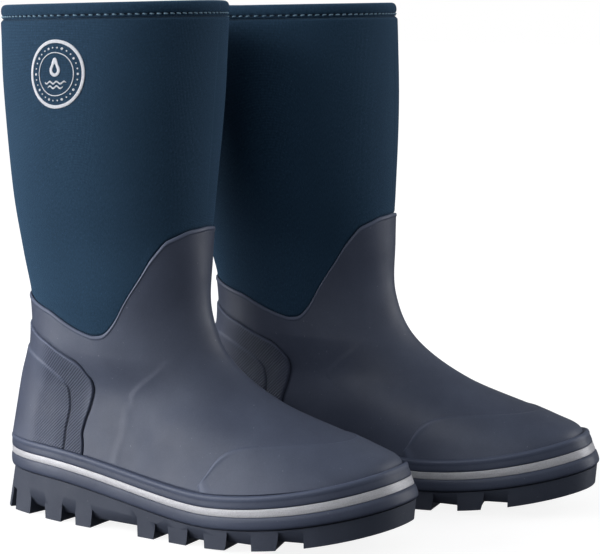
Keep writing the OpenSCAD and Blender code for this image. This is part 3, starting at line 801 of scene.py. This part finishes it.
def make_binding(boot):
    a = (np.arange(STITCHES * 8) * 360 / (STITCHES * 8))[None, :]
    profile = [(LINING_IN - 0.15, 6.9), (LINING_IN - 0.6, 6.9), (LINING_IN - 0.95, 6.3), (LINING_IN - 0.75, 5.6),
               (LINING_IN - 1.05, 4.6), (LINING_IN - 1.15, 3.2), (LINING_IN - 0.95, 1.9), (LINING_IN - 0.4, 0.9),
               (LINING_IN + 0.6, 0.25), (-4.6, 0.0), (-3.6, -0.1), (-2.6, -0.02), (-1.7, 0.35), (-1.1, 0.95),
               (-0.7, 1.8), (-0.52, 2.9), (-0.55, 3.9), (-0.75, 4.65), (-1.0, 5.15), (CREASE_OUT, 5.45),
               (-1.1, STITCH_DEPTH), (-1.0, 6.25), (-1.0, 6.6), (-1.15, 6.9), (-1.5, 7.0), (-1.75, 6.9), (-1.75, 4.0),
               (-1.75, BINDING_ROOT - 0.1), (-3.0, BINDING_ROOT - 0.15), (LINING_IN - 0.1, BINDING_ROOT - 0.1)]
    rows, painted_light_and_shade = [], []
    for out, depth in profile:
        near = math.exp(-((depth - STITCH_DEPTH) / 0.6) ** 2) * (-1.4 < out < -0.6 and 1.0)
        between = (0.5 + 0.5 * np.cos(np.radians(a * STITCHES))) ** 2
        pull = -0.3 * near * between
        # Painted shade between the stitches along the stitch line and in the crease just above it.
        painted_light_and_shade.append((-0.95 * near * between - 0.55 * (out == CREASE_OUT)) * np.ones_like(a))
        swell = 0.1 * ripple(np.radians(a) * 8, 0 * a + depth * 0.3, 5) * (1 if depth < 6 else 0.3)
        rows.append(boot.skin(rim(depth + 0 * a), a, out + pull + swell))
    part = dict(points=np.concatenate(rows), closed_rows=True, painted_light_and_shade=np.concatenate(painted_light_and_shade))
    mesh_object("rolled_binding", boot, [part], "binding", "binding_tape", "top_binding")


def frames_on_skin(boot, v, a, out):
    """Points on the upper with the directions round it, up it and out of it."""
    p = boot.skin(v, a, out)
    x = boot.skin(v, a + 0.3, out) - boot.skin(v, a - 0.3, out)
    y = boot.skin(v + 0.003, a, out) - boot.skin(v - 0.003, a, out)
    x, y = (d / np.linalg.norm(d, axis=-1, keepdims=True) for d in (x, y))
    n = np.cross(y, x)
    return p, x, y, n / np.linalg.norm(n, axis=-1, keepdims=True)


def make_stitching(boot):
    """One plump thread loop for each stitch, lying a little aslant and dipping in at both ends."""
    a = np.arange(STITCHES) * 360 / STITCHES + 360 / STITCHES / 2
    draw = np.random.default_rng(7)
    slant = np.radians(8 + draw.uniform(-5, 5, STITCHES))
    p, x, y, n = frames_on_skin(boot, np.full(STITCHES, rim(STITCH_DEPTH)), a, STITCH_OUT)
    along = np.linspace(-1, 1, 9)
    turn = np.radians(np.arange(0, 360, 45))
    parts = []
    for i in range(STITCHES):
        lie = x[i] * math.cos(slant[i]) + y[i] * math.sin(slant[i])
        cross = y[i] * math.cos(slant[i]) - x[i] * math.sin(slant[i])
        rings = []
        for k in along:
            fat = 0.36 * math.sqrt(max(0.03, 1 - abs(k) ** 3))
            centre = p[i] + lie * k * 1.2 + n[i] * (0.22 - 0.42 * k * k)
            rings.append(centre + fat * (np.cos(turn)[:, None] * cross + np.sin(turn)[:, None] * n[i] * 0.85))
        parts.append(dict(points=np.array(rings), caps=True))
    mesh_object("stitch_row", boot, parts, "thread", "thread", "binding_stitching")


WELT_HALF_DEG = 3.1
WELT_ZIGZAGS = 96
WELT_SWING_DEG = 2.2


def make_back_seam(boot):
    """Flat-lock seam: a low welt with a zigzag of thread over it."""
    low = GALOSH_EDGE(np.array(180.0)) + 0.03
    v = np.linspace(low, rim(BINDING_H + 0.2), 220)[:, None]
    across = np.linspace(-1, 1, 15)[None, :]
    a = 180 + across * WELT_HALF_DEG
    face = shaft_offset(v, a)
    crown = 0.42 * np.sqrt(np.clip(1 - across**2, 0, 1)) - 0.12 * np.exp(-((across / 0.12) ** 2))
    strip = overlay(boot, v, a, face + 0.05 + crown, face - 0.35, 0 * face)
    k = np.linspace(0, 1, WELT_ZIGZAGS * 4 + 1)
    swing = WELT_SWING_DEG * np.interp((k * WELT_ZIGZAGS) % 1, [0, 0.5, 1], [-1, 1, -1])
    tv = low + 0.02 + (rim(BINDING_H + 0.5) - low - 0.02) * k
    p, _, _, n = frames_on_skin(boot, tv, 180 + swing, shaft_offset(tv, 180 + swing) + 0.5)
    path = np.gradient(p, axis=0)
    path /= np.linalg.norm(path, axis=1, keepdims=True)
    side = np.cross(path, n)
    turn = np.radians(np.arange(0, 360, 60))[None, :, None]
    rings = p[:, None] + 0.22 * (np.cos(turn) * side[:, None] + np.sin(turn) * n[:, None])
    thread = dict(points=rings, caps=True)
    mesh_object("back_welt", boot, [strip], "seam", "seam_tape", "back_seam")
    mesh_object("back_thread", boot, [thread], "thread", "thread")


# ---------------------------------------------------------------- badge

BADGE_SLICE = 7.28
BADGE_ANGLE = 93
BADGE_DEG = 0.89
BADGE_R = 16.5
BADGE_DOTS = 30
BADGE_DOTS_R = 12.7


def circle(x, y, r, n, tip=0.0):
    """Circle of n points, or with a tip a water drop with its point up."""
    t = np.radians(np.arange(n) * 360 / n)
    radius = r * (1 + tip * np.exp(-((np.angle(np.exp(1j * (t - np.pi / 2))) / 0.42) ** 2)))
    return np.stack([x + radius * np.cos(t), y + radius * np.sin(t)], -1)


def decal(boot, inner, outer, steps=4):
    """Thin print between two outlines on the shaft."""
    k = np.linspace(0, 1, steps + 1)[:, None, None]
    flat = inner[None] * (1 - k) + outer[None] * k
    v = BADGE_SLICE + flat[..., 1] / RIM_MM
    a = BADGE_ANGLE - flat[..., 0] * BADGE_DEG
    face = shaft_offset(v, a)
    top, bottom = boot.skin(v, a, face + 0.22), boot.skin(v, a, face - 0.1)
    return dict(points=np.concatenate([top, bottom[::-1]]), closed_rows=True)


def make_badge(boot):
    """Round print: a bold ring, a fine ring, a circle of dots between them and a drop over two waves."""
    parts = [decal(boot, circle(0, 0, BADGE_R - 1.65, 120), circle(0, 0, BADGE_R, 120)),
             decal(boot, circle(0, 0, 10.1, 120), circle(0, 0, 10.55, 120), 2)]
    for i in range(BADGE_DOTS):
        t = math.radians(i * 360 / BADGE_DOTS)
        x, y = BADGE_DOTS_R * math.cos(t), BADGE_DOTS_R * math.sin(t)
        r = 0.62 if i % 3 == 0 else 0.4
        parts.append(decal(boot, circle(x, y, 0.03, 16), circle(x, y, r, 16), 2))
    parts.append(decal(boot, circle(0, 1.9, 1.5, 48, 0.95), circle(0, 1.9, 3.1, 48, 0.95)))
    for y0, half in ((-4.0, 6.4), (-6.2, 4.6)):
        x = np.linspace(-half, half, 40)
        y = y0 + 0.55 * np.sin(x * 1.5)
        thick = 0.42 * np.sqrt(np.clip(1 - (x / half) ** 6, 0.02, 1))
        outline = np.concatenate([np.stack([x, y - thick], -1), np.stack([x, y + thick], -1)[::-1]])
        spine = np.concatenate([np.stack([x, y - 0.02], -1), np.stack([x, y + 0.02], -1)[::-1]])
        parts.append(decal(boot, spine, outline, 1))
    mesh_object("badge_print", boot, parts, "badge", "badge_print", "badge")


# ---------------------------------------------------------------- sole


def make_band(boot):
    a = COLS[None, :]
    face = [(-1.2, 0.4), (-0.5, 0.5), (0.1, 0.95), (0.45, 1.8), (0.62, 3.0), (0.66, 4.4), (0.6, 5.8), (0.45, 6.7),
            (0.3, 7.15), (0.08, 7.3), (-0.05, 7.4), (-0.05, 10.7), (0.08, 10.8), (0.3, 10.95), (0.42, 11.5),
            (0.42, 12.6), (0.34, 13.6), (0.32, 14.2), (0.46, 14.8), (0.58, 15.4), (0.5, 16.05), (0.2, 16.55),
            (-0.3, 16.85), (-0.9, 16.9)]
    wide = 0.25 + 0.55 * smooth((130 - fold(a)) / 90)
    rows = [boot.band(a, out, h - wide * (6.5 < h < 9)) for out, h in face]
    rows += [boot.foot(a, 0.75, 16.95), boot.foot(a, 0.36, 16.85), boot.foot(a, 0.33, 15.6),
             boot.foot(a, -0.95, 14.6), boot.foot(a, -1.0, SOLE_JOINT)]
    points = np.concatenate(rows)
    painted_light_and_shade = np.zeros(points.shape[:2])
    # Painted highlight along the band's top bead.
    painted_light_and_shade[18:len(face)] = 0.75
    part = dict(points=points, closed_rows=True, painted_light_and_shade=painted_light_and_shade)
    mesh_object("foxing_band", boot, [part], "band", "band_rubber", "sole_band")
    tape = [(0.02, 7.45), (0.22, 7.5), (0.3, 7.7), (0.3, 10.4), (0.22, 10.6), (0.02, 10.65)]
    points = np.concatenate([boot.band(a, out, h - wide * (h < 9)) for out, h in tape])
    mesh_object("reflective_tape", boot, [dict(points=points, closed_rows=True)],
                "stripe", "reflective_tape", "reflective_stripe")


HEEL_GAP_H = 4.5
FORE_GAP_H = 3.0
GAP_SLOPE_H = 5.5
GAP_REACH = 21.0
LUG_SLANT = 3.2
HEEL_LUGS_END = 98.0
SLOPE_IN = 4.0
PAST = 6.0
TREAD_IN = -2.0
HEEL_FLARE = 4.5
HEEL_FLARE_END = 30.0


def edge_point(side, f):
    """Point (f, s) of the sole's outline at distance f, outer side 1, inner side -1."""
    fm = BOOT_LEN * WIDEST
    n = BAND_ROUND[0] if f < fm else BAND_ROUND[1] if side > 0 else BAND_ROUND[2]
    span = fm if f < fm else BOOT_LEN - fm
    half = (OUTER_HALF_W if side > 0 else INNER_HALF_W) - 1.5
    s = side * half * (1 - (abs(f - fm) / span) ** n) ** (1 / n)
    return np.array([f, float(bent(np.array(f), np.array(s), 1))])


def side_gap(side, f0, f1):
    """Cutter of one gap between two side lugs, as two matching outlines."""
    a0, a1 = edge_point(side, f0), edge_point(side, f1)
    along = (a1 - a0) / np.linalg.norm(a1 - a0)
    inward = np.array([along[1], -along[0]]) * side
    foot = float(spring_z(np.array((f0 + f1) / 2)))
    gap_h = HEEL_GAP_H if (f0 + f1) / 2 < HEEL_LUGS_END else FORE_GAP_H
    profile = [(-PAST, gap_h + GAP_SLOPE_H * (1 + PAST / SLOPE_IN)), (SLOPE_IN, gap_h), (GAP_REACH, gap_h),
               (GAP_REACH, -PAST), (SLOPE_IN, -PAST), (-PAST, -PAST)]
    start, end = [], []
    for reach, z in profile:
        slant = LUG_SLANT * max(0, z) / (gap_h + GAP_SLOPE_H)
        q = a0 + inward * reach + along * slant
        start.append((-q[1], -q[0], foot + z))
        q = a1 + inward * reach
        end.append((-q[1], -q[0], foot + z))
    return np.array([start, end])


def solid_from_rings(name, rings, boot):
    """Plain mesh object of a loft with polygon ends, facing outwards."""
    points = boot.place(rings).reshape(-1, 3)
    rows, cols = rings.shape[:2]
    quads, _ = grid_faces(rows, cols, False)
    faces = [tuple(q) for q in quads.tolist()]
    if cols > 8:
        faces += [tuple(q) for q in cap_faces(0, cols, True).tolist()]
        faces += [tuple(q) for q in cap_faces((rows - 1) * cols, cols, False).tolist()]
    else:
        faces += [tuple(range(cols))[::-1], tuple(range((rows - 1) * cols, rows * cols))]
    mesh = bpy.data.meshes.new(name)
    mesh.from_pydata(points.tolist(), [], faces)
    b = bmesh.new()
    b.from_mesh(mesh)
    bmesh.ops.recalc_face_normals(b, faces=b.faces)
    b.to_mesh(mesh)
    b.free()
    return bpy.data.objects.new(name, mesh)


def cut(obj, cutters):
    """Boolean difference, applied to the mesh."""
    bpy.context.scene.collection.objects.link(obj)
    for c in cutters:
        bpy.context.scene.collection.objects.link(c)
        m = obj.modifiers.new(c.name, "BOOLEAN")
        m.operation, m.solver, m.object = "DIFFERENCE", "EXACT", c
    graph = bpy.context.evaluated_depsgraph_get()
    mesh = bpy.data.meshes.new_from_object(obj.evaluated_get(graph))
    obj.modifiers.clear()
    obj.data = mesh
    for c in cutters:
        bpy.data.objects.remove(c)
    return obj


def make_outsole(boot):
    a = angles_round(160)
    q = boot.band(a, TREAD_IN, 0)
    flare = HEEL_FLARE * smooth(1 + q[..., 1] / HEEL_FLARE_END)
    p = boot.band(a, TREAD_IN + flare, 0)
    foot = np.stack([p[..., 0], p[..., 1], spring_z(-p[..., 1])], -1)
    wall = boot.band(a, -1.2, 0)
    step = np.linspace(0, 1, 4)[:, None, None]
    block = solid_from_rings(f"{boot.side}_lugged_tread", foot * (1 - step) + wall * step, boot)
    cutters = [solid_from_rings(f"gap_{side}_{i}", side_gap(side, *g), boot)
               for i, g in enumerate(GAPS) for side in (1, -1)]
    for f in range(28, 161, 22):
        h = HEEL_GAP_H if f < HEEL_LUGS_END else FORE_GAP_H
        z = float(spring_z(np.array(float(f))))
        low = [(-9, -f - 6, z - PAST), (13, -f - 6, z - PAST), (13, -f, z - PAST), (-9, -f, z - PAST)]
        high = [(x, y, z + h) for x, y, _ in low]
        cutters.append(solid_from_rings(f"groove_{f}", np.array([low, high], float), boot))
    cut(block, cutters)
    bevel = block.modifiers.new("soft_edges", "BEVEL")
    bevel.width, bevel.segments, bevel.limit_method = 0.0006, 2, "ANGLE"
    bevel.angle_limit, bevel.use_clamp_overlap, bevel.harden_normals = math.radians(38), True, False
    block.data.attributes.new("painted_light_and_shade", "FLOAT", "POINT")
    block.data.polygons.foreach_set("use_smooth", np.full(len(block.data.polygons), True))
    block.data.set_sharp_from_angle(angle=math.radians(38))
    dress(block, boot, "sole", "sole_rubber", "outsole")


def make_insole(boot):
    a = angles_round(180)
    out = SKIRT_LINING_IN - 2.5

    def rings(steps):
        rows = []
        for inset, h, cup in steps:
            p = boot.foot(a, out - inset, h)
            heel = smooth((90 + p[..., 1]) / 90)
            p[..., 2] += cup * 1.6 * heel
            rows.append(p)
        return dict(points=np.concatenate(rows), caps=True)

    body = rings([(1.2, INSOLE_BOTTOM, 0), (0.4, INSOLE_BOTTOM + 0.3, 0), (0, INSOLE_BOTTOM + 1.2, 0.2),
                  (0, INSOLE_TOP - 0.6, 1), (0.2, INSOLE_TOP - 0.05, 1), (3, INSOLE_TOP - 0.05, 0.8),
                  (9, INSOLE_TOP - 0.05, 0.2), (14, INSOLE_TOP - 0.05, 0)])
    cover = rings([(14, INSOLE_TOP, 0), (9, INSOLE_TOP, 0.2), (3, INSOLE_TOP, 0.8), (0.15, INSOLE_TOP, 1),
                   (0, INSOLE_TOP + 0.25, 1), (0.35, COVER_TOP - 0.05, 1), (1, COVER_TOP, 1),
                   (3, COVER_TOP, 0.8), (9, COVER_TOP, 0.2), (14, COVER_TOP, 0)])
    foam = mesh_object("insole_foam", boot, [body], "insole", "insole_foam", "insole")
    felt = mesh_object("insole_felt", boot, [cover], "felt", "insole_fabric", "insole_cover")
    for piece in (foam, felt):
        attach(piece, f"{boot.side}_insole_lift")


MAKERS = (make_galosh, make_toe_cap, make_heel_counter, make_shaft, make_sock, make_lining, make_binding,
          make_stitching, make_back_seam, make_badge, make_band, make_outsole, make_insole)
for boot in BOOTS:
    for make in MAKERS:
        make(boot)
    for node, material in (("midsole", "foam"), ("insole_board", "board")):
        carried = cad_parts[f"{boot.side}_{node}"]
        carried.data.materials.clear()
        carried.data.materials.append(MAT[material])

# ---------------------------------------------------------------- floor, light and camera

TARGET = Vector((0.045, 0.0245, 0.11435))
AZIMUTH, ELEVATION, DISTANCE, ROLL = -62.91, 7.82, 1.08, 0.46
LENS = 119.33
SENSOR = 36.0
FLOOR_HALF_M = 12.0


def view_axes():
    az, el = math.radians(AZIMUTH), math.radians(ELEVATION)
    right = Vector((math.cos(az), math.sin(az), 0))
    back = Vector((math.sin(az) * math.cos(el), -math.cos(az) * math.cos(el), math.sin(el)))
    return right, back.cross(right), back


def make_floor():
    s = Shader("pale_floor", 0.9, specular=0.0)
    s.colour(s.mix(s.spread(s.noise(s.metres(), 6, 3, 0.5), 0.3, 0.7), (0.28, 0.28, 0.28, 1), (0.31, 0.31, 0.31, 1)))
    s.out.inputs["Emission Color"].default_value = (1, 1, 1, 1)
    reach = s.node("ShaderNodeVectorMath", operation="LENGTH")
    s.link(s.metres(), reach.inputs[0])
    s.link(s.spread(reach.outputs["Value"], 0.2, 0.6, 0.87, 1.0), s.out.inputs["Emission Strength"])
    mesh = bpy.data.meshes.new("floor")
    w = FLOOR_HALF_M
    mesh.from_pydata([(-w, -w, 0), (w, -w, 0), (w, w, 0), (-w, w, 0)], [], [(0, 1, 2, 3)])
    floor = bpy.data.objects.new("floor", mesh)
    mesh.materials.append(s.material)
    bpy.context.scene.collection.objects.link(floor)
    floor.visible_diffuse = False
    floor.visible_glossy = False


def softbox(name, place, size, power, colour=(1, 1, 1)):
    light = bpy.data.lights.new(name, "AREA")
    light.shape, light.size, light.size_y = "RECTANGLE", size[0], size[1]
    light.energy, light.color = power, colour
    obj = bpy.data.objects.new(name, light)
    obj.location = place
    obj.rotation_euler = (TARGET - Vector(place)).to_track_quat("-Z", "Y").to_euler()
    bpy.context.scene.collection.objects.link(obj)


def make_lights():
    right, _, back = view_axes()
    softbox("key_left", TARGET - right * 1.5 + back * 0.35 + Vector((0, 0, 0.25)), (1.2, 1.6), 31)
    softbox("front_fill", TARGET + back * 1.6 - right * 0.9 + Vector((0, 0, 0.5)), (1.4, 1.4), 5.5)
    softbox("right_rim", TARGET + right * 1.5 - back * 0.2 + Vector((0, 0, 0.35)), (0.9, 1.6), 12)
    world = bpy.data.worlds.new("studio")
    bpy.context.scene.world = world
    world.use_nodes = True
    tree = world.node_tree
    nodes, link = tree.nodes, tree.links.new
    sky = nodes.new("ShaderNodeSeparateXYZ")
    link(nodes.new("ShaderNodeTexCoord").outputs["Generated"], sky.inputs[0])
    strength = map_range(tree, sky.outputs["Z"], -0.35, 0.25, 0.015, 0.24)
    shade = nodes["Background"]
    shade.inputs["Color"].default_value = (0.92, 0.96, 1, 1)
    link(strength, shade.inputs["Strength"])
    backdrop = nodes.new("ShaderNodeBackground")
    backdrop.inputs["Color"].default_value = (1, 1, 1, 1)
    backdrop.inputs["Strength"].default_value = 1.0
    both = nodes.new("ShaderNodeMixShader")
    link(nodes.new("ShaderNodeLightPath").outputs["Is Camera Ray"], both.inputs[0])
    link(shade.outputs[0], both.inputs[1])
    link(backdrop.outputs[0], both.inputs[2])
    link(both.outputs[0], nodes["World Output"].inputs["Surface"])


def make_camera():
    right, up, back = view_axes()
    r = math.radians(ROLL)
    rolled_right = right * math.cos(r) + up * math.sin(r)
    rolled_up = up * math.cos(r) - right * math.sin(r)
    data = bpy.data.cameras.new("camera")
    data.lens, data.sensor_width = LENS, SENSOR
    data.clip_start, data.clip_end = 0.01, 100
    camera = bpy.data.objects.new("camera", data)
    axes = Matrix((rolled_right, rolled_up, back)).transposed().to_4x4()
    camera.matrix_world = Matrix.Translation(TARGET + back * DISTANCE) @ axes
    bpy.context.scene.collection.objects.link(camera)
    bpy.context.scene.camera = camera


make_floor()
make_lights()
make_camera()
bpy.context.scene.view_settings.view_transform = "Standard"
